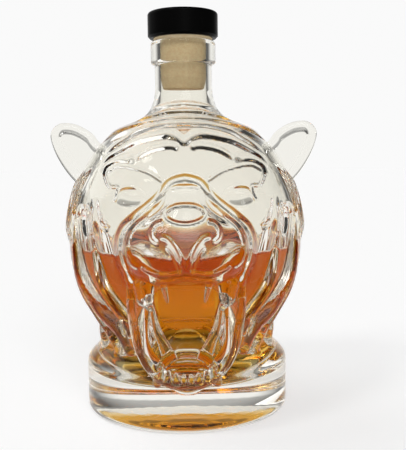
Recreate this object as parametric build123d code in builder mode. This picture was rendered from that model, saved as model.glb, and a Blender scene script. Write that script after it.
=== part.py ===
"""Figural liquor decanter: a moulded glass head of a roaring big cat, with a bar-top stopper.

Millimetres. The origin is the centre of the underside, +Z is up and the face looks along -Y.
"""

from build123d import *
import os
from math import cos, radians, sin, sqrt

os.makedirs("parts", exist_ok=True)

# Glass, turned form: heights are from the underside
base_radius = 51.5
base_height = 24.0
base_edge_radius = 4.0
foot_ring_radius = 45.0
punt_depth = 5.0
waist_radius = 43.5
waist_height = 36.5
skull_radius = 59.3
skull_half_height = 67.0
skull_centre_height = 88.0
shoulder_radius = 20.4
shoulder_height = 148.4
neck_radius = 14.5
flare_height = 164.0
collar_radius = 16.4
collar_height = 11.5
collar_edge_radius = 1.4
lip_height = 185.6

# Where the skull's ellipse hands over to the neck above and to the waist below, in degrees
crown_angle = 50.0
nape_angle = -47.0

# Hollow of the glass
wall = 4.6
waist_wall = 11.0
base_wall = 10.0
floor_thickness = 19.0
hollow_foot_radius = 7.0
hollow_nape_angle = -14.0
bore_radius = 11.6
bore_edge_radius = 1.0
muzzle_wall = 8.0
muzzle_hollow_depth = 46.0

# Rings and brow stripes moulded round the crown
ring_radius = 1.2
ring_angle = 45.6
crown_ring_shares = (0.22, 0.425)
brow_radius = 1.7
brow_angle = 38.5
brow_start_angle = 5.5
brow_sweep = 28.0

# Muzzle: nose bridge, nose and whisker pads
muzzle_half_width = 29.5
muzzle_top_height = 121.0
muzzle_lip_height = 69.0
muzzle_reach = 69.0
muzzle_shares = ((0, 0), (0.6, 0.02), (0.93, 0.17), (0.98, 0.42), (0.6, 0.72), (0.28, 0.9), (0, 1))
muzzle_station_shares = (
    (0.45, 1, 0, 1),
    (0.74, 1, 0, 0.98),
    (0.87, 0.93, 0.03, 0.8),
    (0.955, 0.74, 0.12, 0.63),
    (1, 0.4, 0.24, 0.5),
)
nose_half_width = 12.0
nose_top_height = 95.0
nose_tip_height = 79.0
nose_relief = 1.5
nose_shares = ((0, 0), (0.22, 0.12), (0.55, 0.5), (1, 0.86), (0.8, 1), (0, 0.93))
nose_edge_radius = 1.2
nostril_radius = 2.6
nostril_spread = 8.0
nostril_height = 91.0
bridge_pad_half_width = 9.0
bridge_pad_half_height = 4.6
bridge_pad_depth = 4.0
bridge_pad_reach = 59.5
bridge_pad_height = 104.0

# Lower jaw, round the open mouth
jaw_half_width = 25.0
jaw_top_height = 78.0
chin_height = 25.0
jaw_reach = 61.5
jaw_shares = ((0, 0), (0.42, 0.07), (0.7, 0.24), (0.93, 0.52), (1, 0.82), (0.85, 0.97), (0, 1))
jaw_station_shares = (
    (0.5, 1, 0, 1),
    (0.8, 1, 0, 1),
    (0.93, 0.98, 0.01, 0.88),
    (1, 0.88, 0.06, 0.66),
)

# Mouth pocket
mouth_half_width = 19.5
mouth_top_height = 71.0
mouth_sill_height = 30.0
mouth_back_depth = 31.0
mouth_back_share = 0.72
mouth_back_rise_share = 0.4
mouth_shares = ((0, 0), (0.5, 0.06), (0.82, 0.24), (0.97, 0.55), (1, 0.82), (0.8, 0.97), (0, 1))
mouth_wall = 5.0

# Teeth and tongue
upper_fang_length = 13.0
upper_fang_radius = 3.8
lower_fang_length = 17.0
lower_fang_radius = 3.6
upper_fang_spread = 14.0
lower_fang_spread = 12.6
fang_root = 4.0
fang_root_gap = 2.0
fang_set_back = 1.0
fang_lean = 6.0
fang_splay = 5.0
lower_fang_height = 38.0
incisor_radius = 1.6
incisor_length = 4.6
incisors_per_row = 6
incisor_pitch = 3.7
lower_incisor_rise = 9.0
tongue_half_width = 11.3
tongue_half_length = 14.0
tongue_half_height = 13.0
tongue_depth = 43.0
tongue_top_height = 45.0

# Eyes
socket_half_width = 14.0
socket_half_height = 11.0
socket_depth = 2.6
socket_reach = 8.0
socket_wall = 3.4
eye_half_width = 7.0
eye_half_height = 4.4
eye_depth = 4.0
eye_relief = 2.0
eye_spread = 24.0
eye_height = 110.0

# Cheek ruff: ridges that sweep from the temples down to the jaw, as azimuths and heights
ruff_radius = 2.6
ruff_pitch = 8.5
ruff_ridges = 3
ruff_start_azimuth = 64.0
ruff_start_height = 84.0
ruff_end_azimuth = 31.0
ruff_end_height = 52.0
ruff_end_pitch = 2.8
temple_ridge_azimuth = 74.0
temple_ridge_top_height = 112.0

# Ears: solid glass, fused on at the temples
ear_reach = 26.0
ear_half_root = 12.2
ear_thickness = 6.0
ear_edge_radius = 2.4
ear_dish_depth = 1.2
ear_rim = 3.6
ear_root_height = 124.0
ear_root_radius = 48.4
ear_slope = 61.2
ear_setback = 3.5
ear_film = 0.03
ear_top_shares = ((0, 1), (0.46, 1.26), (0.92, 0.97))
ear_tip_shares = (0.93, 0.24)

# Liquor
liquor_level = 83.0
liquor_gap = 0.2

# Stopper
cap_radius = 17.7
cap_height = 12.9
cap_edge_radius = 1.6
cap_foot_chamfer = 1.1
plug_flange_radius = 14.8
plug_flange_thickness = 1.5
plug_length = 24.6
plug_tip_radius = 10.2
plug_taper_length = 6.0
plug_tip_fillet = 1.5
spigot_radius = 4.5
spigot_length = 14.0
spigot_barbs = 3
spigot_barb_height = 0.7
barb_share = 0.7

# Fits
running_gap = 0.05
overrun = 4.0


def on_skull(angle, inset=0):
    """A point of the skull's ellipse, as a distance from the axis and a height."""
    return (
        (skull_radius - inset) * cos(radians(angle)),
        skull_centre_height + (skull_half_height - inset) * sin(radians(angle)),
    )


def along_skull(angle, inset=0):
    """The direction in which the skull's ellipse climbs there."""
    return (
        (inset - skull_radius) * sin(radians(angle)),
        (skull_half_height - inset) * cos(radians(angle)),
    )


def skull_reach(height):
    """How far the skull stands from the axis at a height."""
    share = (height - skull_centre_height) / skull_half_height
    return skull_radius * sqrt(1 - share**2)


def skull_place(azimuth, height, sink=0):
    """A point of the skull, at an azimuth from the front, or a little under its surface."""
    reach = skull_reach(height) - sink
    return (reach * sin(radians(azimuth)), -reach * cos(radians(azimuth)), height)


def skull_front(side, height):
    """The depth of the skull's face at a distance to one side and a height."""
    return sqrt(skull_reach(height) ** 2 - side**2)


def outline(half_width, low, high, shares):
    """The right half of an outline, from shares across the half width and up from low to high."""
    return [(across * half_width, low + up * (high - low)) for across, up in shares]


def radial_plane(azimuth):
    """The upright half plane at an azimuth from the front: across from the axis, then up."""
    across = (sin(radians(azimuth)), -cos(radians(azimuth)), 0)
    return Plane(origin=(0, 0, 0), x_dir=across, z_dir=(across[1], -across[0], 0))


def ellipsoid(half_sizes, centre):
    """An ellipsoid of three half sizes."""
    with BuildPart(mode=Mode.PRIVATE) as body:
        Sphere(1)
        scale(by=half_sizes)
    return Pos(*centre) * body.part


# Turned form: heavy base, waist, skull, neck and collar, with the rings of the crown
with BuildPart() as turned_form:
    with BuildSketch(Plane.XZ):
        with BuildLine():
            Line((0, 0), (base_radius, 0))
            Line((base_radius, 0), (base_radius, base_height))
            Spline(
                (base_radius, base_height),
                (waist_radius, waist_height),
                on_skull(nape_angle),
                tangents=((0, 1), along_skull(nape_angle)),
            )
            EllipticalCenterArc(
                (0, skull_centre_height),
                skull_radius,
                skull_half_height,
                start_angle=nape_angle,
                arc_size=crown_angle - nape_angle,
            )
            crown = Spline(
                on_skull(crown_angle),
                (shoulder_radius, shoulder_height),
                (neck_radius, flare_height),
                tangents=(along_skull(crown_angle), (0, 1)),
            )
            Line((neck_radius, flare_height), (neck_radius, lip_height))
            Line((neck_radius, lip_height), (0, lip_height))
            Line((0, lip_height), (0, 0))
        make_face()
        with Locations(on_skull(ring_angle), *[crown @ share for share in crown_ring_shares]):
            Circle(ring_radius)
    revolve(axis=Axis.Z)
    foot = turned_form.edges().group_by(Axis.Z)[0]
    fillet(foot, base_edge_radius)
    with BuildSketch(Plane.XZ):
        with Locations((0, lip_height)):
            Rectangle(collar_radius, collar_height, align=(Align.MIN, Align.MAX))
        fillet(vertices().group_by(Axis.X)[-1], collar_edge_radius)
    revolve(axis=Axis.Z)

# Muzzle: nose bridge and whisker pads, lofted forward out of the skull
with BuildPart() as muzzle:
    muzzle_height = muzzle_top_height - muzzle_lip_height
    for depth_share, width_share, low_share, high_share in muzzle_station_shares:
        with BuildSketch(Plane.XZ.offset(depth_share * muzzle_reach)):
            with BuildLine():
                half = outline(
                    width_share * muzzle_half_width,
                    muzzle_lip_height + low_share * muzzle_height,
                    muzzle_lip_height + high_share * muzzle_height,
                    muzzle_shares,
                )
                Spline(*half, tangents=((1, 0), (-1, 0)))
                mirror(about=Plane.YZ)
            make_face()
    loft()

# Nose leather, on the front of the muzzle
with BuildPart() as nose_leather:
    with BuildSketch(Plane.XZ.offset(muzzle_reach - overrun)):
        with BuildLine():
            Spline(*outline(nose_half_width, nose_tip_height, nose_top_height, nose_shares))
            mirror(about=Plane.YZ)
        make_face()
    extrude(amount=overrun + nose_relief)
    fillet(nose_leather.faces().sort_by(Axis.Y)[0].edges(), nose_edge_radius)

# Lower jaw, lofted forward round the mouth
with BuildPart() as jaw:
    jaw_height = jaw_top_height - chin_height
    for depth_share, width_share, low_share, high_share in jaw_station_shares:
        with BuildSketch(Plane.XZ.offset(depth_share * jaw_reach)):
            with BuildLine():
                half = outline(
                    width_share * jaw_half_width,
                    chin_height + low_share * jaw_height,
                    chin_height + high_share * jaw_height,
                    jaw_shares,
                )
                Spline(*half, tangents=((1, 0), (-1, 0)))
                mirror(about=Plane.YZ)
            make_face()
    loft()

def mouth_form(margin):
    """The open mouth's pocket, or the same pocket with glass round it."""
    rise = mouth_back_rise_share * (mouth_top_height - mouth_sill_height)
    stations = (
        (jaw_reach + overrun, mouth_half_width, mouth_sill_height),
        (mouth_back_depth - margin, mouth_back_share * mouth_half_width, mouth_sill_height + rise),
    )
    with BuildPart(mode=Mode.PRIVATE) as pocket:
        for depth, half_width, sill in stations:
            with BuildSketch(Plane.XZ.offset(depth)):
                with BuildLine():
                    half = outline(
                        half_width + margin, sill - margin, mouth_top_height + margin, mouth_shares
                    )
                    Spline(*half, tangents=((1, 0), (-1, 0)))
                    mirror(about=Plane.YZ)
                make_face()
        loft()
    return pocket.part


def socket_forms(margin):
    """The eye sockets, or the same sockets with glass round them."""
    front = skull_front(eye_spread, eye_height)
    half_sizes = (socket_half_width + margin, socket_reach + margin, socket_half_height + margin)
    return [
        ellipsoid(half_sizes, (side * eye_spread, socket_depth - socket_reach - front, eye_height))
        for side in (1, -1)
    ]


def hollow_form(gap):
    """The hollow of the glass, drawn in all round by a gap: base, skull, muzzle and neck."""
    base_side = base_radius - base_wall - gap
    floor = floor_thickness + gap
    inset = wall + gap
    with BuildPart(mode=Mode.PRIVATE) as hollow:
        with BuildSketch(Plane.XZ):
            with BuildLine():
                Line((0, floor), (base_side - hollow_foot_radius, floor))
                JernArc(
                    (base_side - hollow_foot_radius, floor), (1, 0), hollow_foot_radius, 90
                )
                Spline(
                    (base_side, floor + hollow_foot_radius),
                    (waist_radius - waist_wall - gap, waist_height),
                    on_skull(hollow_nape_angle, inset),
                    tangents=((0, 1), along_skull(hollow_nape_angle, inset)),
                )
                EllipticalCenterArc(
                    (0, skull_centre_height),
                    skull_radius - inset,
                    skull_half_height - inset,
                    start_angle=hollow_nape_angle,
                    arc_size=crown_angle - hollow_nape_angle,
                )
                Spline(
                    on_skull(crown_angle, inset),
                    (shoulder_radius - inset, shoulder_height - gap),
                    (bore_radius - gap, flare_height),
                    tangents=(along_skull(crown_angle, inset), (0, 1)),
                )
                Line((bore_radius - gap, flare_height), (bore_radius - gap, lip_height))
                Line((bore_radius - gap, lip_height), (0, lip_height))
                Line((0, lip_height), (0, floor))
            make_face()
        revolve(axis=Axis.Z)
        add(
            ellipsoid(
                (
                    muzzle_half_width - muzzle_wall - gap,
                    (muzzle_reach - muzzle_hollow_depth) - muzzle_wall - gap,
                    (muzzle_top_height - muzzle_lip_height) / 2 - muzzle_wall - gap,
                ),
                (0, -muzzle_hollow_depth, (muzzle_top_height + muzzle_lip_height) / 2),
            )
        )
        add(mouth_form(mouth_wall + gap), mode=Mode.SUBTRACT)
        add(socket_forms(socket_wall + gap), mode=Mode.SUBTRACT)
    return hollow.part


def fang(radius, length):
    """A tooth that stands up from the origin, with its root below."""
    with BuildPart(mode=Mode.PRIVATE) as tooth:
        with BuildSketch(Plane.XZ):
            with BuildLine():
                Line((0, -fang_root), (radius, -fang_root))
                Line((radius, -fang_root), (radius, 0))
                Spline((radius, 0), (0, length), tangents=((0, 1), (-1, 0)))
                Line((0, length), (0, -fang_root))
            make_face()
        revolve(axis=Axis.Z)
    return tooth.part


# Outer form of the head, still solid
upper_row_depth = jaw_reach - upper_fang_radius - fang_set_back
lower_row_depth = jaw_reach - incisor_radius - fang_set_back

with BuildPart() as outer_form:
    add(turned_form)
    add(muzzle)
    add(jaw)

    # Brow stripes, one over each eye
    for azimuth in (brow_start_angle, -brow_start_angle - brow_sweep):
        with BuildSketch(radial_plane(azimuth)):
            with Locations(on_skull(brow_angle)):
                Circle(brow_radius)
        revolve(axis=Axis.Z, revolution_arc=brow_sweep)
        with Locations(
            radial_plane(azimuth).from_local_coords((*on_skull(brow_angle), 0)),
            radial_plane(azimuth + brow_sweep).from_local_coords((*on_skull(brow_angle), 0)),
        ):
            Sphere(brow_radius)

    # Cheek ruff and temple ridges, buried at both ends
    for side in (1, -1):
        ridges = [
            (
                (ruff_start_azimuth, ruff_start_height - number * ruff_pitch),
                (ruff_end_azimuth, ruff_end_height - number * ruff_end_pitch),
            )
            for number in range(ruff_ridges)
        ]
        ridges.append(
            (
                (temple_ridge_azimuth, temple_ridge_top_height),
                (temple_ridge_azimuth, ruff_start_height),
            )
        )
        for (first_azimuth, first_height), (last_azimuth, last_height) in ridges:
            middle = ((first_azimuth + last_azimuth) / 2, (first_height + last_height) / 2)
            with BuildLine() as ridge:
                Spline(
                    skull_place(side * first_azimuth, first_height, ruff_radius),
                    skull_place(side * middle[0], middle[1]),
                    skull_place(side * last_azimuth, last_height, ruff_radius),
                )
            with BuildSketch(Plane(ridge.line @ 0, z_dir=ridge.line % 0)):
                Circle(ruff_radius)
            sweep()

    # Eyes in their sockets
    add(socket_forms(0), mode=Mode.SUBTRACT)
    eye_middle = eye_depth - eye_relief + socket_depth - skull_front(eye_spread, eye_height)
    for side in (1, -1):
        add(
            ellipsoid(
                (eye_half_width, eye_depth, eye_half_height), (side * eye_spread, eye_middle, eye_height)
            )
        )

    # Nose leather with its nostrils, and the pad on the bridge of the nose
    add(nose_leather)
    with Locations(
        *[(side * nostril_spread, -muzzle_reach - nose_relief, nostril_height) for side in (1, -1)]
    ):
        Sphere(nostril_radius, mode=Mode.SUBTRACT)
    add(
        ellipsoid(
            (bridge_pad_half_width, bridge_pad_depth, bridge_pad_half_height),
            (0, -bridge_pad_reach, bridge_pad_height),
        )
    )

    # Open mouth, tongue and teeth
    add(mouth_form(0), mode=Mode.SUBTRACT)
    add(
        ellipsoid(
            (tongue_half_width, tongue_half_length, tongue_half_height),
            (0, -tongue_depth, tongue_top_height - tongue_half_height),
        )
    )
    for side in (1, -1):
        add(
            Pos(side * upper_fang_spread, -upper_row_depth, mouth_top_height - fang_root_gap)
            * Rot(180 - fang_lean, 0, 0)
            * fang(upper_fang_radius, upper_fang_length)
        )
        add(
            Pos(side * lower_fang_spread, fang_set_back - lower_row_depth, lower_fang_height)
            * Rot(-fang_lean, side * fang_splay, 0)
            * fang(lower_fang_radius, lower_fang_length)
        )
    for number in range(incisors_per_row):
        x = (number - (incisors_per_row - 1) / 2) * incisor_pitch
        add(
            Pos(x, -upper_row_depth, mouth_top_height)
            * Rot(180, 0, 0)
            * fang(incisor_radius, incisor_length)
        )
        rise = lower_incisor_rise * (x / mouth_half_width) ** 2
        add(
            Pos(x, -lower_row_depth, mouth_sill_height + rise)
            * fang(incisor_radius, incisor_length)
        )

# Glass bottle
with BuildPart() as glass_bottle:
    add(outer_form)
    add(hollow_form(0), mode=Mode.SUBTRACT)
    lip_edges = glass_bottle.edges().group_by(Axis.Z)[-1]
    fillet(lip_edges.sort_by(SortBy.RADIUS)[0], bore_edge_radius)
    with BuildSketch(Plane.XZ):
        with BuildLine():
            TangentArc((0, punt_depth), (foot_ring_radius, 0), tangent=(1, 0))
            Line((foot_ring_radius, 0), (0, 0))
            Line((0, 0), (0, punt_depth))
        make_face()
    revolve(axis=Axis.Z, mode=Mode.SUBTRACT)
glass_bottle.part.label = "glass_bottle"
export_step(glass_bottle.part, "parts/glass_bottle.step")

# Seat of the ears: the skull and its rings, a fusing film wider
with BuildPart() as ear_seat:
    with BuildSketch(Plane.XZ):
        with Locations((0, skull_centre_height)):
            Ellipse(skull_radius + ear_film, skull_half_height + ear_film)
        with Locations(on_skull(ring_angle)):
            Circle(ring_radius + ear_film)
        split(bisect_by=Plane.YZ, keep=Keep.TOP)
    revolve(axis=Axis.Z)

# Ears
def ear_arcs(side):
    """The ear's edge from its upper root round the tip to its lower root, as three smooth arcs."""
    top_points = [(out * ear_reach, side * up * ear_half_root) for out, up in ear_top_shares]
    tip_out, tip_up = ear_tip_shares
    top = ThreePointArc(*top_points)
    tip = TangentArc(top @ 1, (tip_out * ear_reach, side * tip_up * ear_half_root), tangent=top % 1)
    under = TangentArc(tip @ 1, (0, -side * ear_half_root), tangent=tip % 1)
    return top, under


for name, side in (("left_ear", 1), ("right_ear", -1)):
    with BuildPart() as ear:
        root = Plane(
            origin=(side * ear_root_radius, ear_setback + ear_thickness / 2, ear_root_height),
            x_dir=(side * sin(radians(ear_slope)), 0, cos(radians(ear_slope))),
            z_dir=(0, -1, 0),
        )
        with BuildSketch(root):
            with BuildLine():
                top, under = ear_arcs(side)
                Polyline(
                    under @ 1,
                    (-overrun, -side * ear_half_root),
                    (-overrun, side * ear_half_root),
                    top @ 0,
                )
            make_face()
        extrude(amount=ear_thickness)
        fillet(ear.edges().filter_by(GeomType.CIRCLE), ear_edge_radius)
        with BuildSketch(root.offset(ear_thickness)):
            with BuildLine():
                top, under = ear_arcs(side)
                Line(under @ 1, top @ 0)
            make_face()
            offset(amount=-ear_rim)
        extrude(amount=-ear_dish_depth, mode=Mode.SUBTRACT)
        add(ear_seat, mode=Mode.SUBTRACT)
    ear.part.label = name
    export_step(ear.part, f"parts/{name}.step")

# Liquor, up to its level
with BuildPart() as liquor:
    add(hollow_form(liquor_gap))
    split(bisect_by=Plane.XY.offset(liquor_level), keep=Keep.BOTTOM)
liquor.part.label = "liquor"
export_step(liquor.part, "parts/liquor.step")

# Stopper cap, with the barbed spigot that holds it in the plug
cap_foot = lip_height + plug_flange_thickness
barb_pitch = spigot_length / (spigot_barbs + 1)
with BuildPart() as stopper_cap:
    with BuildSketch(Plane.XZ):
        with Locations((0, cap_foot)):
            Rectangle(cap_radius, cap_height, align=Align.MIN)
        rim = vertices().group_by(Axis.X)[-1].sort_by(Axis.Y)
        chamfer(rim[0], cap_foot_chamfer)
        fillet(rim[1], cap_edge_radius)
    revolve(axis=Axis.Z)
    with BuildSketch(Plane.XZ):
        with Locations((0, cap_foot)):
            Rectangle(spigot_radius, spigot_length, align=(Align.MIN, Align.MAX))
        for number in range(spigot_barbs):
            barb_top = cap_foot - (number + 1) * barb_pitch
            with BuildLine():
                Polyline(
                    (spigot_radius, barb_top),
                    (spigot_radius + spigot_barb_height, barb_top),
                    (spigot_radius, barb_top - barb_pitch * barb_share),
                    close=True,
                )
            make_face()
    revolve(axis=Axis.Z)
stopper_cap.part.label = "stopper_cap"
export_step(stopper_cap.part, "parts/stopper_cap.step")

# Stopper plug: flange on the lip, shank in the bore, drawn in at the tip
with BuildPart() as stopper_plug:
    shank_radius = bore_radius - running_gap
    with BuildSketch(Plane.XZ):
        with BuildLine():
            Polyline(
                (0, cap_foot),
                (plug_flange_radius, cap_foot),
                (plug_flange_radius, lip_height),
                (shank_radius, lip_height),
                (shank_radius, lip_height - plug_length + plug_taper_length),
                (plug_tip_radius, lip_height - plug_length),
                (0, lip_height - plug_length),
                close=True,
            )
        make_face()
        fillet(vertices().group_by(Axis.Y)[0].sort_by(Axis.X)[-1], plug_tip_fillet)
    revolve(axis=Axis.Z)
    add(stopper_cap, mode=Mode.SUBTRACT)
stopper_plug.part.label = "stopper_plug"
export_step(stopper_plug.part, "parts/stopper_plug.step")
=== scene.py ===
"""Looks of the figural liquor decanter: sculpted clear glass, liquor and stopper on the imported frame.

The sculpt is worked out in millimetres, in the row's frame: +Z up, the face looks along -Y.
"""

import math

import bpy
import numpy as np
import openvdb
from mathutils import Matrix, Vector

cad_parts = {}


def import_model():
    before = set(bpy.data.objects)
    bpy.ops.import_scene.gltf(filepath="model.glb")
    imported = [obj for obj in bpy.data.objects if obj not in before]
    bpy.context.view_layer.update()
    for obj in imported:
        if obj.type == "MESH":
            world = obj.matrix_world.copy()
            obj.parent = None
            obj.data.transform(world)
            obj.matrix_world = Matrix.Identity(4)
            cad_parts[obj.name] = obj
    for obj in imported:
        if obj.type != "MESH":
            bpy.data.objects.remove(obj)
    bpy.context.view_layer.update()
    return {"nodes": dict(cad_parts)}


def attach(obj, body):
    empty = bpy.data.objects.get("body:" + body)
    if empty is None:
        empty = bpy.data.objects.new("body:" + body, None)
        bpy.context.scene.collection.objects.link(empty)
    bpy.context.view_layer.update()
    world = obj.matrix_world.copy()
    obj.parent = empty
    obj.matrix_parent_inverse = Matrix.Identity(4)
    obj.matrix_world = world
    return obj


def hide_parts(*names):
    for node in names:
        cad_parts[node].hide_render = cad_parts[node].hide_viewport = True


MM = 0.001

# Turned form of the glass, from the axis and from the underside
BASE_RADIUS = 51.5
BASE_HEIGHT = 24.0
BASE_EDGE_RADIUS = 4.0
FOOT_RING_RADIUS = 45.0
PUNT_DEPTH = 5.0
WAIST = (43.5, 36.5)
WAIST_WAY = (-0.12, 1)
SKULL_RADIUS = 59.3
SKULL_HALF_HEIGHT = 67.0
SKULL_CENTRE = 88.0
NAPE_ANGLE = -47.0
CROWN_ANGLE = 50.0
SHOULDER = (20.4, 148.4)
SHOULDER_WAY = (-0.83, 0.56)
NECK_RADIUS = 14.5
FLARE_HEIGHT = 164.0
COLLAR_RADIUS = 16.4
COLLAR_HEIGHT = 11.5
COLLAR_EDGE_RADIUS = 1.4
LIP_HEIGHT = 185.6

# Hollow of the glass, whose bore runs on past the lip and so opens it
WALL = 4.6
BASE_WALL = 10.0
WAIST_WALL = 11.0
FLOOR = 19.0
HOLLOW_FOOT_RADIUS = 7.0
HOLLOW_WAIST_WAY = (-0.02, 1)
HOLLOW_JOWL = (44.0, 61.0)
HOLLOW_JOWL_WAY = (0.66, 1)
HOLLOW_NAPE_ANGLE = -6.0
BORE_RADIUS = 11.6
BORE_END = 196.0
BORE_MOUTH_BLEND = 0.8
MUZZLE_HOLLOW = (0, -44, 92)
MUZZLE_HOLLOW_HALF = (22, 18, 16)
MUZZLE_HOLLOW_BLEND = 6.0

# Eyes' sockets, which the hollow keeps clear of by a wall
SOCKET = (23.5, -53.5, 110)
SOCKET_HALF = (14.0, 4.0, 10.5)
SOCKET_WALL = 3.5

# Open mouth: how deep it starts and ends, and its half width, sill and top, which taper inward
MOUTH_FRONT = 61.5
MOUTH_BACK = 31.0
MOUTH_TAPER = 30.0
MOUTH_TAPER_RANGE = (-0.2, 1.3)
MOUTH_HALF = 19.0
MOUTH_NARROWING = 5.0
MOUTH_SILL = 31.0
MOUTH_SILL_RISE = 14.0
MOUTH_TOP = 71.0
MOUTH_TOP_FALL = 1.0
MOUTH_SQUARENESS = 3.0
MOUTH_SLOPE = 0.9
MOUTH_EDGE = 2.0
MOUTH_WALL = 5.5
MOUTH_WALL_BLEND = 4.0

# Lip round the jaw, and how far from its line the hollow keeps
LIP_LINE = (
    (22.8, -50, 76),
    (22.8, -55, 64),
    (21.5, -58, 52),
    (18.5, -60, 41),
    (13.0, -61, 33),
    (6.5, -61.5, 29),
    (0, -61.5, 28),
    (-6.5, -61.5, 29),
)
LIP_RADII = (4.2, 3.2)
LIP_WALL = 9.0

# Ruff: round ridges from the temples down and forward to the jaw, and tufts over the base
RIDGE_LINES = (
    ((43, -41, 92), (41, -43, 81), (38, -44, 69), (31.5, -45.5, 59), (26.5, -46, 52), (23.5, -45, 42)),
    ((52, -27, 98), (51, -32, 85), (48, -33.5, 70), (40, -38, 57), (31, -41, 48), (26, -40, 38)),
    ((53.5, -14, 94), (52.8, -18, 79), (48.6, -24, 65), (41.5, -29, 54), (35, -33, 45), (31, -35, 37)),
)
RIDGE_START_RADIUS = 1.5
RIDGE_RADII = (3.0, 3.4, 3.6)
TUFT_LINES = (
    ((41, -22, 46), (39.5, -17, 38), (41, -12, 28)),
    ((33, -31, 43), (32, -28, 36), (33, -27, 28)),
)
TUFT_START_RADIUS = 2.0
TUFT_RADII = (3.4, 3.2)
SWELLING_SHARE = 0.3
RUFF_BLEND = 1.2
RUFF_WALL = 5.5
WALL_BLEND = 3.0

# Arch of the lower lip and the bands across it
ARCH_LINE = (
    (13.4, -59, 27.5),
    (12.4, -59.3, 33.5),
    (8.6, -59.6, 38.4),
    (3.6, -59.8, 40.8),
    (-3.6, -59.8, 40.8),
)
ARCH_RADIUS = 2.2
ARCH_BLEND = 1.5
BAND_HEIGHTS = (30.0, 33.2, 36.4)
BAND_HALF_WIDTH = 8.6
BAND_FALL = 0.8
BAND_DEPTHS = (-59.6, -58.9)
BAND_RADII = (1.1, 0.6)
BAND_BLEND = 1.2

# Teeth: upper canine and the tooth beside it, lower canine, and the lower row, which rises to its ends
UPPER_CANINE = ((18.8, -57.5, 71), (18.3, -58.5, 66), (16.0, -59, 60.5))
UPPER_CANINE_RADII = (4.6, 4.0, 0.9)
UPPER_TOOTH = ((10, -58, 71), (9.0, -58.5, 67), (8.2, -58.5, 63.5))
UPPER_TOOTH_RADII = (1.6, 1.1, 0.5)
UPPER_BLEND = 0.8
LOWER_CANINE = ((8.0, -57, 38), (10.5, -57, 44.5), (13.5, -57, 52), (15.6, -56.5, 62))
LOWER_CANINE_RADII = (3.2, 1.0)
LOWER_CANINE_BLEND = 1.0
TEETH_A_SIDE = 4
TOOTH_PITCH = 3.3
TOOTH_ROOT = (-63.5, 27.2)
TOOTH_TIP = (-63.2, 31.6)
TOOTH_RADII = (1.5, 1.1)
TOOTH_BLEND = 0.5
TOOTH_ROW_BEND = 0.03

# Ears, with their outline on the plate: distance out from the root, distance up
EAR_ROOT = (48.4, 124.0)
EAR_SLOPE = 61.2
EAR_SETBACK = 3.5
EAR_RIM_RADIUS = 2.5
EAR_PLATE_THICKNESS = 2.6
EAR_BLEND = 1.6
EAR_FILM = 0.03
EAR_LOW, EAR_HIGH = (-10.0, -22.0), (34.0, 22.0)
EAR_OUTLINE = (
    (-14, 11), (0, 12.2), (6, 14.6), (12, 15.3), (18, 14.5), (23.5, 11.6),
    (25.6, 7), (24.4, 2.6), (18, -3.6), (9, -9), (0, -12.2), (-14, -15),
)
EAR_BOX_MIDDLE = (56.5, 3.5, 129.0)
EAR_BOX_HALF = (18.0, 5.5, 25.0)

# Liquor: its level, how far it reaches into the glass, and how it climbs at the wall
LIQUOR_LEVEL = 83.0
LIQUOR_WETTING = 0.12
MENISCUS = 1.2
MENISCUS_REACH = 1.2

# A face of the glass is wetted where it is this near to the hollow and this far from the outside
WETTED_NEAR = 0.5
WETTED_DEPTH = 1.0

# Relief of the head, drawn on (degrees round from the face, height): half width, height, fades, points
HEAD_LOW, HEAD_HIGH = (-6.0, 20.0), (120.0, 160.0)
HEAD_FADE = (100, 116)
FIRST_STRIPE = (
    (-6, 134.5), (0, 135), (5, 137.3), (12, 138.5),
    (22, 137.5), (32, 135.5), (42, 131), (54, 125),
)
HEAD_LINES = (
    # Stripes of the crown
    (2.6, 1.3, (0, 9), FIRST_STRIPE),
    (2.4, 1.2, (0, 12), ((-6, 144), (0, 144), (19, 143.3), (34, 140.5), (42, 136.5), (56, 130))),
    (2.0, 1.1, (0, 18), ((-6, 147), (0, 147), (20, 146.5), (37, 145.3), (60, 141), (75, 136))),
    (1.6, 1.0, (0, 18), ((-6, 150.5), (0, 150.5), (20, 150), (40, 148.8), (70, 146))),
    (1.4, 0.9, (0, 18), ((-6, 154), (0, 154), (20, 153.6), (40, 152.6), (70, 151))),
    # Brows
    (2.0, 1.5, (3, 6), ((2.5, 131.5), (7, 133), (14, 132.6), (21, 130.8), (29, 126.5))),
    (2.8, 1.6, (6, 7), ((26, 125.5), (34, 127.3), (42, 126), (51, 121))),
    # Temple
    (1.8, 1.2, (6, 6), ((53, 108), (54, 98), (50, 88))),
    (1.6, -1.2, (6, 6), ((49, 110), (48.5, 99), (44, 87))),
    (2.2, 1.6, (8, 10), ((62, 124), (66, 112), (67, 100), (64, 86))),
    (2.2, -1.6, (8, 10), ((70, 122), (73, 110), (73, 98), (71, 84))),
    (2.4, 1.8, (8, 10), ((78, 122), (80, 110), (80, 98), (78, 84))),
    # Groove between the ruff's ridges
    (2.4, -1.6, (12, 6), ((84, 96), (80, 80), (70, 66))),
)

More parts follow.
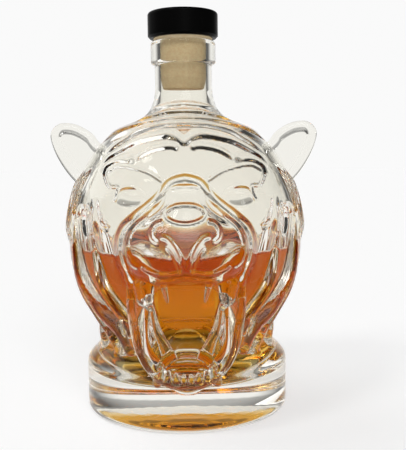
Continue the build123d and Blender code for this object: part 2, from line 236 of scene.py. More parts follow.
# Relief of the face, drawn on (distance to the side, height) and fading in with the depth
FACE_LOW, FACE_HIGH = (-4.0, 16.0), (46.0, 130.0)
FACE_FADE = (18, 30)
MUZZLE_RIM = (
    (-4, 118.5), (0, 118.7), (5, 117.5), (8.3, 115.2), (13.5, 109), (22, 102.3),
    (28.5, 95.5), (30.5, 87.6), (29.7, 81), (27.5, 76), (24, 70),
)
RIM_GROOVE = ((9.5, 112), (15.5, 105), (23, 98.6), (27, 93.5), (28.3, 87.5), (27.2, 82), (24.5, 77))
INNER_RIM = ((12, 108), (17.5, 102.5), (23, 97.5), (25.6, 92), (26, 87.5), (23.8, 82.5), (19, 79.5))
BRIDGE_LENS = (
    (-4, 106.6), (0, 107.2), (4, 106.8), (7.4, 105.2), (8.6, 103.2),
    (7.4, 101.2), (4, 99.8), (0, 99.3), (-4, 99.8),
)
FACE_LINES = (
    # Rim of the muzzle
    (2.0, 1.7, (0, 4), MUZZLE_RIM),
    (1.5, -1.3, (4, 4), RIM_GROOVE),
    (1.7, 1.2, (4, 4), INNER_RIM),
    (1.2, 0.9, (0, 2), ((-4, 114.9), (0, 114.9), (4, 114.9), (7.5, 113.6))),
    # Raised edge round the bridge's lens
    (1.1, 0.9, (0, 0), BRIDGE_LENS),
    # Nostril wing and nose
    (1.3, 1.2, (1, 2), ((9.5, 100.2), (13, 99), (14.8, 96), (14.3, 93), (11.5, 91))),
    (1.5, 1.4, (2, 0), ((11.5, 94), (8, 93.2), (5, 90), (2.6, 85.5), (0.8, 80), (-1, 77))),
    (1.1, -1.2, (2, 0), ((8.5, 90.2), (5.6, 86.5), (3.6, 82), (2.6, 78))),
    # Upper lip
    (1.5, 1.3, (0, 3), ((-4, 79.5), (0, 78.8), (3, 77.6), (10, 77), (15.3, 79), (20, 81.5))),
    (1.0, -1.0, (0, 3), ((-4, 76.4), (0, 75.8), (3, 75.2), (10, 74.6), (14, 75.6))),
    # Upper lid, corner of the eye and the cheek under it
    (1.1, 0.9, (3, 3), ((37, 121), (31, 124), (24, 123.4), (16, 121), (9, 116.5))),
    (1.1, -0.9, (2, 3), ((37.4, 121), (34.6, 115), (30.5, 114.3), (30.7, 110.2), (33, 107))),
    (1.4, 1.1, (5, 3), ((41.5, 110), (40.4, 103), (38.5, 98), (34.5, 94.6))),
    (1.0, -0.9, (3, 3), ((38.5, 104), (37, 99.5), (33.5, 96.6))),
)

# Looks of the glass and the liquor. Wetted glass bends light only as much as the two differ.
GLASS_COLOUR = (0.934, 0.92, 0.862)
GLASS_TINT = 0.25
GLASS_IOR = 1.5
WETTED_IOR = 1.103
LIQUOR_IOR = 1.36
LIQUOR_COLOUR = (0.915, 0.705, 0.04)
LIQUOR_DENSITY = 96.0
LIQUOR_TOP_DEPTH = 0.1
NO_COLOUR = (1, 1, 1)
NO_BENDING = 1.0

# Looks of the stopper
CAP_SHADE = 0.002
CAP_ROUGHNESS = 0.32
CAP_SHINE = 0.03
PLUG_GRAIN = 900.0
PLUG_COLOURS = ((0.35, (0.9, 0.68, 0.40)), (0.65, (0.96, 0.78, 0.5)))
PLUG_ROUGHNESS = 0.6

# Camera, in metres and degrees, with its lens in millimetres
CAMERA_DISTANCE = 0.386
CAMERA_HEIGHT = 0.1284
CAMERA_PITCH = 5.3
CAMERA_YAW = -1.35
CAMERA_ROLL = -0.65
CAMERA_LENS = 60.0
CAMERA_SENSOR = 36.0
CAMERA_NEAR = 0.01

# Soft lamps: where each shines from, its strength and how wide it looks in degrees
LAMPS = {
    "back": ((-0.8, 0.4, 0.8), 0.9, 60.0),
    "key": ((-0.5, -0.45, 0.7), 0.7, 14.0),
    "fill": ((0.1, -0.75, 0.5), 1.3, 35.0),
}

# Brightness of the room from front to back, and the share of it from low to high, over directions from 0 to 1
WALLS = ((0.0, 0.14), (0.5, 0.05), (0.82, 0.12), (0.95, 0.955), (1.0, 0.955))
HEIGHTS = ((0.0, 1.0), (0.604, 1.0), (0.64, 0.5), (0.8, 0.46), (0.9, 0.2), (1.0, 0.15))
FLOOR_SIZE = 12
FLOOR_SHADE = 0.55
FLOOR_GLOW = 0.6
LIGHT_BOUNCES = 32

# Grid of the sculpt: coarse first, and fine near the surface. No plane of it may lie at x = 0.
CELL = 0.75
EAR_CELL = 0.4
COARSE = 4
LOW = np.array((-72.3, -74.0, -3.0))
HIGH = np.array((72.0, 62.0, 190.0))
LIQUOR_HEADROOM = 4.0
NEAR_SHARE = 1.3
KEPT_CELLS = 3
MOST_POINTS = 400000

# Pulls of the mesh's points onto the true surface, along the field's slope
PULLS = 2
LEAST_SLOPE = 0.1
SLOPE_REACH = 0.15

# A rod is measured this near to it, and taken as far elsewhere
ROD_REACH = 9.0
FAR = 50.0

# Sheets of distances and reliefs, and the steps of the lines drawn on them
RELIEF_STEP = 0.35
RELIEF_ROUNDNESS = 1.3
LINE_STEPS = 8
TABLE_STEP = 0.4
TABLE_LOW = (-8.0, -8.0)
TABLE_HIGH = (78.0, 206.0)
SHEET_MARGIN = 2.001
SAME_POINT = 1e-12
TINY = 1e-6


def hermite(start, end, start_way, end_way, steps=24):
    """Points of a cubic from start to end that leaves and arrives along the given ways."""
    start, end, out, into = (np.array(v, float) for v in (start, end, start_way, end_way))
    reach = np.linalg.norm(end - start)
    out = out / np.linalg.norm(out) * reach
    into = into / np.linalg.norm(into) * reach
    t = np.linspace(0, 1, steps, endpoint=False)[:, None]
    return (
        (2 * t**3 - 3 * t**2 + 1) * start
        + (t**3 - 2 * t**2 + t) * out
        + (3 * t**2 - 2 * t**3) * end
        + (t**3 - t**2) * into
    )


def arc(centre, radius, first, last, steps=10):
    """Points of a circle or, with two radii, of an ellipse, between two angles in degrees."""
    radii = np.array(radius, float) * np.ones(2)
    a = np.radians(np.linspace(first, last, steps))
    return np.array(centre) + radii * np.stack((np.cos(a), np.sin(a)), 1)


def through(points, steps=6):
    """A smooth line through points, as closer points."""
    pts = np.array(points, float)
    ends = np.concatenate(([2 * pts[0] - pts[1]], pts, [2 * pts[-1] - pts[-2]]))
    line = []
    for i in range(1, len(ends) - 2):
        a, b, c, d = ends[i - 1 : i + 3]
        for t in np.linspace(0, 1, steps, endpoint=False):
            place = 2 * b + (c - a) * t
            place += (2 * a - 5 * b + 4 * c - d) * t**2
            place += (3 * b - a - 3 * c + d) * t**3
            line.append(0.5 * place)
    line.append(ends[-2])
    return np.array(line)


def on_skull(angle, inset=0.0):
    """The skull's point at an angle, as distance from the axis and height."""
    a = math.radians(angle)
    return (
        (SKULL_RADIUS - inset) * math.cos(a),
        SKULL_CENTRE + (SKULL_HALF_HEIGHT - inset) * math.sin(a),
    )


def along_skull(angle, inset=0.0):
    """The way that the skull runs at an angle."""
    a = math.radians(angle)
    return (-(SKULL_RADIUS - inset) * math.sin(a), (SKULL_HALF_HEIGHT - inset) * math.cos(a))


def skull_arc(first, inset=0.0):
    """The skull's ellipse from an angle up to the crown."""
    radii = (SKULL_RADIUS - inset, SKULL_HALF_HEIGHT - inset)
    return arc((0, SKULL_CENTRE), radii, first, CROWN_ANGLE, steps=90)


def outer_profile():
    """The glass's turned profile, from the middle of the underside round to the middle of the lip."""
    collar_low = LIP_HEIGHT - COLLAR_HEIGHT
    edge = COLLAR_EDGE_RADIUS
    punt = np.linspace(0, 1, 12)
    return np.concatenate(
        (
            np.stack((FOOT_RING_RADIUS * punt, PUNT_DEPTH * (1 - punt**2)), 1),
            arc((BASE_RADIUS - BASE_EDGE_RADIUS, BASE_EDGE_RADIUS), BASE_EDGE_RADIUS, -90, 0),
            hermite((BASE_RADIUS, BASE_HEIGHT), WAIST, (0, 1), WAIST_WAY),
            hermite(WAIST, on_skull(NAPE_ANGLE), WAIST_WAY, along_skull(NAPE_ANGLE)),
            skull_arc(NAPE_ANGLE),
            hermite(on_skull(CROWN_ANGLE), SHOULDER, along_skull(CROWN_ANGLE), SHOULDER_WAY),
            hermite(SHOULDER, (NECK_RADIUS, FLARE_HEIGHT), SHOULDER_WAY, (0, 1)),
            [(NECK_RADIUS, FLARE_HEIGHT), (NECK_RADIUS, collar_low)],
            arc((COLLAR_RADIUS - edge, collar_low + edge), edge, -90, 0),
            arc((COLLAR_RADIUS - edge, LIP_HEIGHT - edge), edge, 0, 90),
            [(0, LIP_HEIGHT)],
        )
    )


def hollow_profile():
    """The hollow's turned profile, from its floor up and out through the bore."""
    side = BASE_RADIUS - BASE_WALL
    foot = FLOOR + HOLLOW_FOOT_RADIUS
    waist = (WAIST[0] - WAIST_WALL, WAIST[1])
    shoulder = (SHOULDER[0] - WALL, SHOULDER[1])
    nape = on_skull(HOLLOW_NAPE_ANGLE, WALL)
    return np.concatenate(
        (
            [(0, FLOOR)],
            arc((side - HOLLOW_FOOT_RADIUS, foot), HOLLOW_FOOT_RADIUS, -90, 0),
            hermite((side, foot), waist, (0, 1), HOLLOW_WAIST_WAY),
            hermite(waist, HOLLOW_JOWL, HOLLOW_WAIST_WAY, HOLLOW_JOWL_WAY),
            hermite(HOLLOW_JOWL, nape, HOLLOW_JOWL_WAY, along_skull(HOLLOW_NAPE_ANGLE, WALL)),
            skull_arc(HOLLOW_NAPE_ANGLE, WALL),
            hermite(on_skull(CROWN_ANGLE, WALL), shoulder, along_skull(CROWN_ANGLE, WALL), SHOULDER_WAY),
            hermite(shoulder, (BORE_RADIUS, FLARE_HEIGHT), SHOULDER_WAY, (0, 1)),
            [(BORE_RADIUS, FLARE_HEIGHT), (BORE_RADIUS, BORE_END), (0, BORE_END)],
        )
    )


def sheet_places(low, high, step):
    """The places of a sheet one after another, and how many it has across and up."""
    across = np.arange(low[0], high[0], step)
    up = np.arange(low[1], high[1], step)
    places = np.stack(np.meshgrid(across, up, indexing="ij"), -1).reshape(-1, 2)
    return places, (len(across), len(up))


def signed_sheet(loop, low, high, step):
    """Signed distance to a closed outline, on a sheet of places."""
    p, shape = sheet_places(low, high, step)
    best = np.full(len(p), np.inf)
    inside = np.zeros(len(p), bool)
    for a, b in zip(loop, np.roll(loop, -1, 0)):
        way = b - a
        length = way @ way
        if length < SAME_POINT:
            continue
        off = p - a
        t = np.clip(off @ way / length, 0, 1)
        best = np.minimum(best, ((off - t[:, None] * way) ** 2).sum(1))
        spans = (a[1] > p[:, 1]) != (b[1] > p[:, 1])
        if spans.any():
            cross = a[0] + (p[spans, 1] - a[1]) * way[0] / way[1]
            inside[spans] ^= p[spans, 0] < cross
    d = np.sqrt(best)
    d[inside] *= -1
    return d.reshape(shape).astype(np.float32)


def profile_table(points):
    """Signed distance to a turned profile, at distances from the axis and heights."""
    loop = np.concatenate((points, points[::-1] * (-1, 1)))
    return signed_sheet(loop, TABLE_LOW, TABLE_HIGH, TABLE_STEP)


def look_up(table, low, step, across, up):
    """A table at places on its sheet, by quadratic splines, so that its slope is smooth."""
    u = np.clip((across - low[0]) / step, 1, table.shape[0] - SHEET_MARGIN)
    v = np.clip((up - low[1]) / step, 1, table.shape[1] - SHEET_MARGIN)
    i, j = np.rint(u).astype(np.int32), np.rint(v).astype(np.int32)
    fu, fv = u - i, v - j
    wu = (0.5 * (0.5 - fu) ** 2, 0.75 - fu**2, 0.5 * (0.5 + fu) ** 2)
    wv = (0.5 * (0.5 - fv) ** 2, 0.75 - fv**2, 0.5 * (0.5 + fv) ** 2)
    total = 0
    for du in range(3):
        for dv in range(3):
            total = total + wu[du] * wv[dv] * table[i + du - 1, j + dv - 1]
    return total


def turned(table, p):
    """Distance to a turned form at points in space."""
    return look_up(table, TABLE_LOW, TABLE_STEP, np.hypot(p[:, 0], p[:, 1]), p[:, 2])


def eased(value, start, end):
    """0 before start, 1 after end, and a smooth step between."""
    share = np.clip((value - start) / (end - start), 0, 1)
    return share * share * (3 - 2 * share)


def nearest(p, line):
    """How far places are from a line, squared, how far along it that is, and the line's length."""
    ways = line[1:] - line[:-1]
    lengths = np.linalg.norm(ways, axis=1)
    starts = np.concatenate(([0], np.cumsum(lengths)[:-1]))
    best, along = np.full(len(p), np.inf), np.zeros(len(p))
    for a, way, length, start in zip(line, ways, lengths, starts):
        t = np.clip((p - a) @ way / length**2, 0, 1)
        d = ((p - a - t[:, None] * way) ** 2).sum(1)
        closer = d < best
        best[closer], along[closer] = d[closer], start + t[closer] * length
    return best, along, lengths.sum()


def relief_sheet(low, high, lines):
    """Ridges and grooves drawn on a sheet: each a smooth line with a half width and a height."""
    p, shape = sheet_places(low, high, RELIEF_STEP)
    ridges, grooves = np.zeros(len(p)), np.zeros(len(p))
    for half, height, fades, points in lines:
        line = through(points, LINE_STEPS)
        near = np.all((p > line.min(0) - half) & (p < line.max(0) + half), axis=1)
        squared, along, length = nearest(p[near], line)
        bump = height * np.maximum(1 - squared / half**2, 0) ** RELIEF_ROUNDNESS
        for fade, from_end in zip(fades, (along, length - along)):
            if fade > 0:
                bump = bump * eased(from_end, 0, fade)
        if height > 0:
            ridges[near] = np.maximum(ridges[near], bump)
        else:
            grooves[near] = np.minimum(grooves[near], bump)
    return (ridges + grooves).reshape(shape).astype(np.float32)


def ball(p, centre, half):
    """Distance to an ellipsoid, near enough."""
    q = p - np.array(centre, np.float32)
    half = np.array(half, np.float32)
    k0 = np.sqrt(((q / half) ** 2).sum(1))
    k1 = np.sqrt(((q / half**2) ** 2).sum(1))
    return k0 * (k0 - 1) / np.maximum(k1, TINY)


def rod(p, points, radii):
    """Distance to a round rod through points, with a radius at each, worked out only near it."""
    points = np.array(points, np.float32)
    margin = max(radii) + ROD_REACH
    close = np.all((p > points.min(0) - margin) & (p < points.max(0) + margin), axis=1)
    best = np.full(len(p), FAR, np.float32)
    near = p[close]
    found = best[close]
    for a, b, ra, rb in zip(points, points[1:], radii, radii[1:]):
        way = b - a
        q = near - a
        t = np.clip(q @ way / (way @ way), 0, 1)
        found = np.minimum(found, np.sqrt(((q - t[:, None] * way) ** 2).sum(1)) - (ra + (rb - ra) * t))
    best[close] = found
    return best


def join(a, b, blend):
    """Union with a rounded inner corner."""
    h = np.maximum(blend - np.abs(a - b), 0) / blend
    return np.minimum(a, b) - h * h * blend / 4


def cut(a, b, blend):
    """What is left of a outside b, with a rounded edge."""
    return -join(-a, b, blend)


def formed(d, q, forms):
    """The distance d with forms joined to it or cut from it one after another."""
    for way, shape, place, size, blend in forms:
        d = way(d, shape(q, place, size), blend)
    return d


def mirrored(p):
    """The points with x made positive, so that a form is made once for both sides."""
    q = p.copy()
    q[:, 0] = np.abs(q[:, 0])
    return q


def evenly(path, radii):
    """Radii along a path that change evenly from the first to the last."""
    return np.linspace(*radii, len(path))


def swelling(lines, start, radii):
    """Rods along lines that start thin and swell, each as its path and the radii along it."""
    rods = []
    for points, radius in zip(lines, radii):
        path = through(points, steps=4)
        share = np.linspace(0, 1, len(path))
        rods.append((path, np.interp(share, (0, SWELLING_SHARE, 1), (start, radius, radius))))
    return rods


OUTER = profile_table(outer_profile())
HOLLOW = profile_table(hollow_profile())
HEAD_RELIEF = relief_sheet(HEAD_LOW, HEAD_HIGH, HEAD_LINES)
FACE_RELIEF = relief_sheet(FACE_LOW, FACE_HIGH, FACE_LINES)
EAR_SHEET = signed_sheet(through(EAR_OUTLINE, LINE_STEPS), EAR_LOW, EAR_HIGH, RELIEF_STEP)

LIP = through(LIP_LINE, steps=4)
RIDGES = swelling(RIDGE_LINES, RIDGE_START_RADIUS, RIDGE_RADII)
TUFTS = swelling(TUFT_LINES, TUFT_START_RADIUS, TUFT_RADII)

# Forms of the head, made once for both sides: how each is added, its shape, place, size and blend
FACE = (
    # Muzzle, bridge of the nose and pads of the upper lip
    (join, ball, (0, -44, 88.5), (29.5, 24.5, 20.0), 2.5),
    (join, rod, ((0, -41, 113), (0, -52, 99)), (11.5, 12.5), 3.0),
    (join, ball, (12.5, -55, 83), (14, 12.5, 11.5), 4.0),
    # Shallow socket and the eye in it
    (cut, ball, SOCKET, SOCKET_HALF, 4.0),
    (join, ball, (24, -47.5, 110), (7.5, 4, 4.6), 1.0),
    # Jaw, its lip and the ruff beside it
    (join, ball, (0, -40, 46), (24.5, 19, 22), 3.0),
    (join, rod, LIP, evenly(LIP, LIP_RADII), RUFF_BLEND),
    *((join, rod, path, radii, RUFF_BLEND) for path, radii in RIDGES + TUFTS),
)
BEHIND_FACE = (
    # Glass kept behind the socket, the lip and the ruff
    (cut, ball, SOCKET, np.array(SOCKET_HALF) + SOCKET_WALL, WALL_BLEND),
    (cut, rod, LIP, [LIP_WALL] * len(LIP), WALL_BLEND),
    *((cut, rod, path, radii + RUFF_WALL, WALL_BLEND) for path, radii in RIDGES),
)


def tongue_and_lip():
    """Tongue, lower lip, the lip's arch and the bands across it."""
    arch = through(ARCH_LINE)
    forms = [
        (join, ball, (0, -43, 33), (11.0, 14, 15.0), 1.5),
        (join, ball, (0, -53, 32.5), (12.2, 6.5, 8.6), 1.0),
        (join, rod, arch, [ARCH_RADIUS] * len(arch), ARCH_BLEND),
    ]
    for height in BAND_HEIGHTS:
        band = ((0, BAND_DEPTHS[0], height), (BAND_HALF_WIDTH, BAND_DEPTHS[1], height - BAND_FALL))
        forms.append((join, rod, band, BAND_RADII, BAND_BLEND))
    return forms


def teeth():
    """Upper canine, the tooth beside it, lower canine and the row of small lower teeth."""
    canine = through(LOWER_CANINE, steps=5)
    forms = [
        (join, rod, UPPER_CANINE, UPPER_CANINE_RADII, UPPER_BLEND),
        (join, rod, UPPER_TOOTH, UPPER_TOOTH_RADII, UPPER_BLEND),
        (join, rod, canine, evenly(canine, LOWER_CANINE_RADII), LOWER_CANINE_BLEND),
    ]
    for number in range(TEETH_A_SIDE):
        x = (number + 0.5) * TOOTH_PITCH
        rise = TOOTH_ROW_BEND * x**2
        tooth = [(x, y, z + rise) for y, z in (TOOTH_ROOT, TOOTH_TIP)]
        forms.append((join, rod, tooth, TOOTH_RADII, TOOTH_BLEND))
    return forms


MOUTH = tongue_and_lip() + teeth()


def mouth_pocket(q, margin=0.0):
    """Distance to the open mouth's pocket, or to one wider by a margin. q has x made positive."""
    depth = -q[:, 1]
    inward = np.clip((MOUTH_FRONT - depth) / MOUTH_TAPER, *MOUTH_TAPER_RANGE)
    half = MOUTH_HALF - MOUTH_NARROWING * inward + margin
    sill = MOUTH_SILL + MOUTH_SILL_RISE * inward - margin
    top = MOUTH_TOP - MOUTH_TOP_FALL * inward + margin
    across = np.abs(q[:, 0] / half)
    upward = np.abs((q[:, 2] - (sill + top) / 2) / ((top - sill) / 2))
    share = (across**MOUTH_SQUARENESS + upward**MOUTH_SQUARENESS) ** (1 / MOUTH_SQUARENESS)
    # Scaled down a little, so that it doesn't overstate the distance
    side = (share - 1) * half * MOUTH_SLOPE
    back = MOUTH_BACK - margin - depth
    return np.maximum(side, back)


def outside(p):
    """Distance to the outside of the glass."""
    q = mirrored(p)
    depth = -q[:, 1]
    round_face = np.degrees(np.arctan2(q[:, 0], depth))
    on_head = look_up(HEAD_RELIEF, HEAD_LOW, RELIEF_STEP, round_face, q[:, 2])
    d = turned(OUTER, p) - on_head * (1 - eased(round_face, *HEAD_FADE))
    d = formed(d, q, FACE)
    on_face = look_up(FACE_RELIEF, FACE_LOW, RELIEF_STEP, q[:, 0], q[:, 2])
    d = d - on_face * eased(depth, *FACE_FADE)
    d = cut(d, mouth_pocket(q), MOUTH_EDGE)
    return formed(d, q, MOUTH)


def hollow(p, grow=0.0):
    """Distance to the hollow of the glass, or to one grown all round."""
    q = mirrored(p)
    d = join(turned(HOLLOW, p), ball(q, MUZZLE_HOLLOW, MUZZLE_HOLLOW_HALF), MUZZLE_HOLLOW_BLEND)
    d = cut(d, mouth_pocket(q, MOUTH_WALL), MOUTH_WALL_BLEND)
    return formed(d, q, BEHIND_FACE) - grow


def glass(p):
    """Distance to the bottle's glass: its outside less its hollow."""
    return cut(outside(p), hollow(p), BORE_MOUTH_BLEND)


def liquor(p):
    """Distance to the liquor: the hollow up to the level, which climbs a little at the wall."""
    side = hollow(p, LIQUOR_WETTING)
    top = p[:, 2] - (LIQUOR_LEVEL + MENISCUS * np.exp(np.minimum(side, 0) / MENISCUS_REACH))
    return np.maximum(side, top)


def ear(p):
    """Distance to both ears: a thin plate in a thick round rim, cut back to the head."""
    q = mirrored(p)
    slope = math.radians(EAR_SLOPE)
    aside, above = q[:, 0] - EAR_ROOT[0], q[:, 2] - EAR_ROOT[1]
    out = aside * math.sin(slope) + above * math.cos(slope)
    up = above * math.sin(slope) - aside * math.cos(slope)
    edge = look_up(EAR_SHEET, EAR_LOW, RELIEF_STEP, out, up)
    thick = np.abs(p[:, 1] - EAR_SETBACK)
    rim = np.hypot(edge + EAR_RIM_RADIUS, thick) - EAR_RIM_RADIUS
    plate = np.maximum(edge + EAR_RIM_RADIUS, thick - EAR_PLATE_THICKNESS / 2)
    return np.maximum(join(rim, plate, EAR_BLEND), EAR_FILM - outside(p))


def sampled(field, cell, low, high):
    """The field on a fine grid, worked out point by point near its surface and roughly elsewhere."""
    wide = cell * COARSE
    counts = np.ceil((high - low) / wide).astype(int) + 2
    axes = [low[k] + wide * np.arange(counts[k]) for k in range(3)]
    grid = np.stack(np.meshgrid(*axes, indexing="ij"), -1).reshape(-1, 3).astype(np.float32)
    rough = field(grid).reshape(counts)
    band = np.abs(rough) < wide * NEAR_SHARE
    wanted = np.zeros(counts - 1, bool)
    for corner in np.ndindex(2, 2, 2):
        wanted |= band[tuple(slice(c, n - 1 + c) for c, n in zip(corner, counts))]
    offsets = np.argwhere(np.ones((COARSE,) * 3, bool))
    index = (np.argwhere(wanted)[:, None] * COARSE + offsets[None]).reshape(-1, 3)
    points = (low + index * cell).astype(np.float32)
    parts = np.array_split(points, max(1, len(points) // MOST_POINTS))
    fine = rough[:-1, :-1, :-1]
    for axis in range(3):
        fine = np.repeat(fine, COARSE, axis)
    fine[tuple(index.T)] = np.concatenate([field(part) for part in parts])
    return fine


def gradient(field, p):
    """The field's slope and value at points."""
    slope = np.empty_like(p)
    for k in range(3):
        ahead, behind = p.copy(), p.copy()
        ahead[:, k] += SLOPE_REACH
        behind[:, k] -= SLOPE_REACH
        slope[:, k] = (field(ahead) - field(behind)) / (2 * SLOPE_REACH)
    return slope, field(p)


def surface(field, cell, low, high):
    """Vertices and quads of a field's zero surface, and the way outward at each vertex."""
    limit = KEPT_CELLS * cell
    vdb = openvdb.FloatGrid(background=limit)
    vdb.copyFromArray(np.clip(sampled(field, cell, low, high), -limit, limit).astype(np.float32))
    vertices, quads = vdb.convertToQuads(isovalue=0)
    vertices = vertices.astype(np.float32) * cell + low.astype(np.float32)
    for _ in range(PULLS):
        slope, value = gradient(field, vertices)
        step = value / np.maximum((slope**2).sum(1), LEAST_SLOPE)
        vertices = vertices - np.clip(step, -cell / 2, cell / 2)[:, None] * slope
    slope, _ = gradient(field, vertices)
    normals = slope / np.maximum(np.linalg.norm(slope, axis=1), TINY)[:, None]
    return vertices, quads, normals


def sculpted(name, field, low=LOW, high=HIGH, cell=CELL):
    """A mesh object of a field's surface, shaded by the field's own slope."""
    vertices, quads, normals = surface(field, cell, low, high)
    mesh = bpy.data.meshes.new(name)
    mesh.vertices.add(len(vertices))
    mesh.vertices.foreach_set("co", (vertices * MM).astype(np.float32).ravel())
    mesh.loops.add(quads.size)
    mesh.loops.foreach_set("vertex_index", quads.astype(np.int32).ravel())
    mesh.polygons.add(len(quads))
    mesh.polygons.foreach_set("loop_start", np.arange(0, quads.size, 4, dtype=np.int32))
    mesh.update(calc_edges=True)
    mesh.validate()
    mesh.shade_smooth()
    mesh.normals_split_custom_set_from_vertices(normals.astype(float).tolist())
    obj = bpy.data.objects.new(name, mesh)
    bpy.context.scene.collection.objects.link(obj)
    print(name, len(vertices), "points", len(quads), "faces")
    return obj


def shader(name):
    """A new material and its principled shader."""
    material = bpy.data.materials.new(name)
    material.use_nodes = True
    return material, material.node_tree.nodes["Principled BSDF"]


def pass_light(base, colour, ior):
    """Make a principled shader let light through, with a colour and a bending of its own."""
    base.inputs["Base Color"].default_value = (*colour, 1)
    base.inputs["Roughness"].default_value = 0.0
    base.inputs["IOR"].default_value = ior
    base.inputs["Transmission Weight"].default_value = 1.0


def noise(tree, scale):
    """Noise that is fixed to the object."""
    where = tree.nodes.new("ShaderNodeTexCoord")
    texture = tree.nodes.new("ShaderNodeTexNoise")
    texture.inputs["Scale"].default_value = scale
    tree.links.new(where.outputs["Object"], texture.inputs["Vector"])
    return texture


def ramp(tree, source, stops):
    """A colour ramp on a value, from (place, colour) stops."""
    node = tree.nodes.new("ShaderNodeValToRGB")
    while len(node.color_ramp.elements) < len(stops):
        node.color_ramp.elements.new(0.5)
    for element, (place, colour) in zip(node.color_ramp.elements, stops):
        element.position = place
        element.color = (*colour, 1)
    tree.links.new(source, node.inputs["Fac"])
    return node


def glass_material():
    """Clear glass that mirrors less than real glass, so that no pale veil lies over the liquor."""
    material, base = shader("clear_glass")
    pass_light(base, GLASS_COLOUR, GLASS_IOR)
    base.inputs["Specular Tint"].default_value = (GLASS_TINT, GLASS_TINT, GLASS_TINT, 1)
    return material


def wetted_material():
    """Glass where liquor touches it, which bends light only by the difference between the two."""
    material, base = shader("wetted_glass")
    pass_light(base, GLASS_COLOUR, WETTED_IOR)
    return material


def wetted(obj):
    """Give the hollow's faces under the liquor's level the object's second material."""
    centres = np.empty(3 * len(obj.data.polygons), np.float32)
    obj.data.polygons.foreach_get("center", centres)
    p = centres.reshape(-1, 3) / MM
    on_hollow = (np.abs(hollow(p)) < WETTED_NEAR) & (np.abs(outside(p)) > WETTED_DEPTH)
    wet = on_hollow & (p[:, 2] < LIQUOR_LEVEL + MENISCUS)
    obj.data.polygons.foreach_set("material_index", wet.astype(np.int32))
    obj.data.update()


def liquor_material():
    """Amber liquor: its top bends light, and its sides leave that to the wetted glass."""
    material, top = shader("amber_liquor")
    tree = material.node_tree
    out = tree.nodes["Material Output"]
    sides = tree.nodes.new("ShaderNodeBsdfPrincipled")
    pass_light(top, NO_COLOUR, LIQUOR_IOR)
    pass_light(sides, NO_COLOUR, NO_BENDING)
    where = tree.nodes.new("ShaderNodeTexCoord")
    split = tree.nodes.new("ShaderNodeSeparateXYZ")
    tree.links.new(where.outputs["Object"], split.inputs["Vector"])
    high = tree.nodes.new("ShaderNodeMath")
    high.operation = "GREATER_THAN"
    high.inputs[1].default_value = (LIQUOR_LEVEL - LIQUOR_TOP_DEPTH) * MM
    tree.links.new(split.outputs["Z"], high.inputs[0])
    mix = tree.nodes.new("ShaderNodeMixShader")
    tree.links.new(high.outputs["Value"], mix.inputs["Fac"])
    tree.links.new(sides.outputs["BSDF"], mix.inputs[1])
    tree.links.new(top.outputs["BSDF"], mix.inputs[2])
    tree.links.new(mix.outputs["Shader"], out.inputs["Surface"])
    volume = tree.nodes.new("ShaderNodeVolumeAbsorption")
    volume.inputs["Color"].default_value = (*LIQUOR_COLOUR, 1)
    volume.inputs["Density"].default_value = LIQUOR_DENSITY
    tree.links.new(volume.outputs["Volume"], out.inputs["Volume"])
    return material


def cap_material():
    """Black cap with a dull shine."""
    material, base = shader("black_cap")
    base.inputs["Base Color"].default_value = (CAP_SHADE, CAP_SHADE, CAP_SHADE, 1)
    base.inputs["Roughness"].default_value = CAP_ROUGHNESS
    base.inputs["Specular IOR Level"].default_value = CAP_SHINE
    return material


def plug_material():
    """Pale plug with a fine grain."""
    material, base = shader("pale_plug")
    tree = material.node_tree
    colours = ramp(tree, noise(tree, PLUG_GRAIN).outputs["Fac"], PLUG_COLOURS)
    tree.links.new(colours.outputs["Color"], base.inputs["Base Color"])
    base.inputs["Roughness"].default_value = PLUG_ROUGHNESS
    return material


def make_floor():
    """Plain pale floor with a glow of its own, which keeps it even."""
    bpy.ops.mesh.primitive_plane_add(size=FLOOR_SIZE, location=(0, 0, 0))
    floor = bpy.context.object
    floor.name = "floor"
    material, base = shader("floor_white")
    base.inputs["Base Color"].default_value = (FLOOR_SHADE, FLOOR_SHADE, FLOOR_SHADE, 1)
    base.inputs["Roughness"].default_value = 1.0
    base.inputs["Specular IOR Level"].default_value = 0.0
    base.inputs["Emission Color"].default_value = (1, 1, 1, 1)
    base.inputs["Emission Strength"].default_value = FLOOR_GLOW
    floor.data.materials.append(material)


def spanned_ramp(tree, source, stops):
    """Grey levels over a direction's part, which goes from -1 to 1, with stops from 0 to 1."""
    span = tree.nodes.new("ShaderNodeMapRange")
    span.inputs["From Min"].default_value = -1.0
    span.inputs["From Max"].default_value = 1.0
    tree.links.new(source, span.inputs["Value"])
    return ramp(tree, span.outputs["Result"], [(place, (level,) * 3) for place, level in stops])


def make_room():
    """Light from all round: a bright wall behind the decanter, and dark ones beside and before it."""
    world = bpy.data.worlds.new("studio")
    bpy.context.scene.world = world
    world.use_nodes = True
    tree = world.node_tree
    where = tree.nodes.new("ShaderNodeTexCoord")
    split = tree.nodes.new("ShaderNodeSeparateXYZ")
    tree.links.new(where.outputs["Generated"], split.inputs["Vector"])
    walls = spanned_ramp(tree, split.outputs["Y"], WALLS)
    heights = spanned_ramp(tree, split.outputs["Z"], HEIGHTS)
    total = tree.nodes.new("ShaderNodeMix")
    total.data_type = "RGBA"
    total.blend_type = "MULTIPLY"
    total.inputs["Factor"].default_value = 1.0
    tree.links.new(walls.outputs["Color"], total.inputs["A"])
    tree.links.new(heights.outputs["Color"], total.inputs["B"])
    tree.links.new(total.outputs["Result"], tree.nodes["Background"].inputs["Color"])


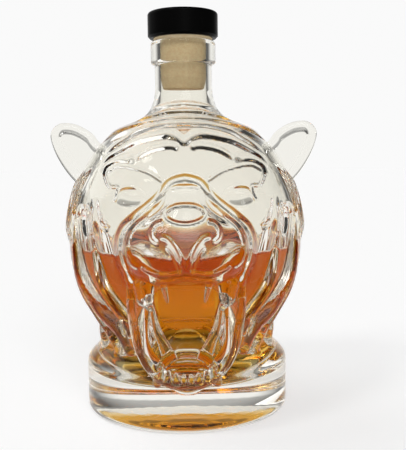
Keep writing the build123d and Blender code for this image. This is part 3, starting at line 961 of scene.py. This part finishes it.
def make_lamps():
    """Soft lamps from far away, so that the floor is lit evenly."""
    for name, (place, strength, width) in LAMPS.items():
        light = bpy.data.lights.new(name, "SUN")
        light.energy = strength
        light.angle = math.radians(width)
        lamp = bpy.data.objects.new(name, light)
        bpy.context.scene.collection.objects.link(lamp)
        lamp.rotation_mode = "QUATERNION"
        lamp.rotation_quaternion = (-Vector(place)).to_track_quat("-Z", "Y")


def make_camera():
    """The photograph's view: its distance, height, pitch, turn and tilt."""
    camera = bpy.data.objects.new("camera", bpy.data.cameras.new("camera"))
    bpy.context.scene.collection.objects.link(camera)
    bpy.context.scene.camera = camera
    camera.data.sensor_width = CAMERA_SENSOR
    camera.data.lens = CAMERA_LENS
    camera.data.clip_start = CAMERA_NEAR
    camera.location = (0, -CAMERA_DISTANCE, CAMERA_HEIGHT)
    turn = Matrix.Rotation(math.radians(CAMERA_YAW), 4, "Z")
    pitch = Matrix.Rotation(math.radians(90 - CAMERA_PITCH), 4, "X")
    roll = Matrix.Rotation(math.radians(CAMERA_ROLL), 4, "Z")
    camera.rotation_mode = "QUATERNION"
    camera.rotation_quaternion = (turn @ pitch @ roll).to_quaternion()


def dress_bottle():
    """The bottle's glass, with the wetted part of its hollow."""
    body = sculpted("glass_body", glass)
    body.data.materials.append(glass_material())
    body.data.materials.append(wetted_material())
    wetted(body)
    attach(body, "decanter")
    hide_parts("glass_bottle")
    return body


def dress_liquor():
    """The liquor, sculpted up to just above its level."""
    fill = sculpted("liquor_fill", liquor, high=np.array((*HIGH[:2], LIQUOR_LEVEL + LIQUOR_HEADROOM)))
    fill.data.materials.append(liquor_material())
    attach(fill, "decanter")
    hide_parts("liquor")


def dress_stopper(nodes):
    """The stopper's own solids, in their looks."""
    for node, material in (("stopper_cap", cap_material()), ("stopper_plug", plug_material())):
        mesh = nodes[node].data
        mesh.materials.clear()
        mesh.materials.append(material)


def dress_ears(material):
    """Both ears, in the bottle's glass."""
    half = np.array(EAR_BOX_HALF)
    for node, side in (("left_ear", 1), ("right_ear", -1)):
        middle = np.array(EAR_BOX_MIDDLE) * (side, 1, 1)
        piece = sculpted(f"{node}_glass", ear, middle - half, middle + half, EAR_CELL)
        piece.data.materials.append(material)
        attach(piece, "decanter")
        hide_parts(node)


def main():
    """Dress the frame's pieces and set the stage."""
    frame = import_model()

    body = dress_bottle()
    dress_liquor()
    dress_stopper(frame["nodes"])
    dress_ears(body.data.materials[0])

    make_floor()
    make_room()
    make_lamps()
    make_camera()
    cycles = bpy.context.scene.cycles
    cycles.max_bounces = LIGHT_BOUNCES
    cycles.transmission_bounces = LIGHT_BOUNCES
    cycles.glossy_bounces = LIGHT_BOUNCES
    bpy.context.scene.view_settings.view_transform = "Standard"


main()
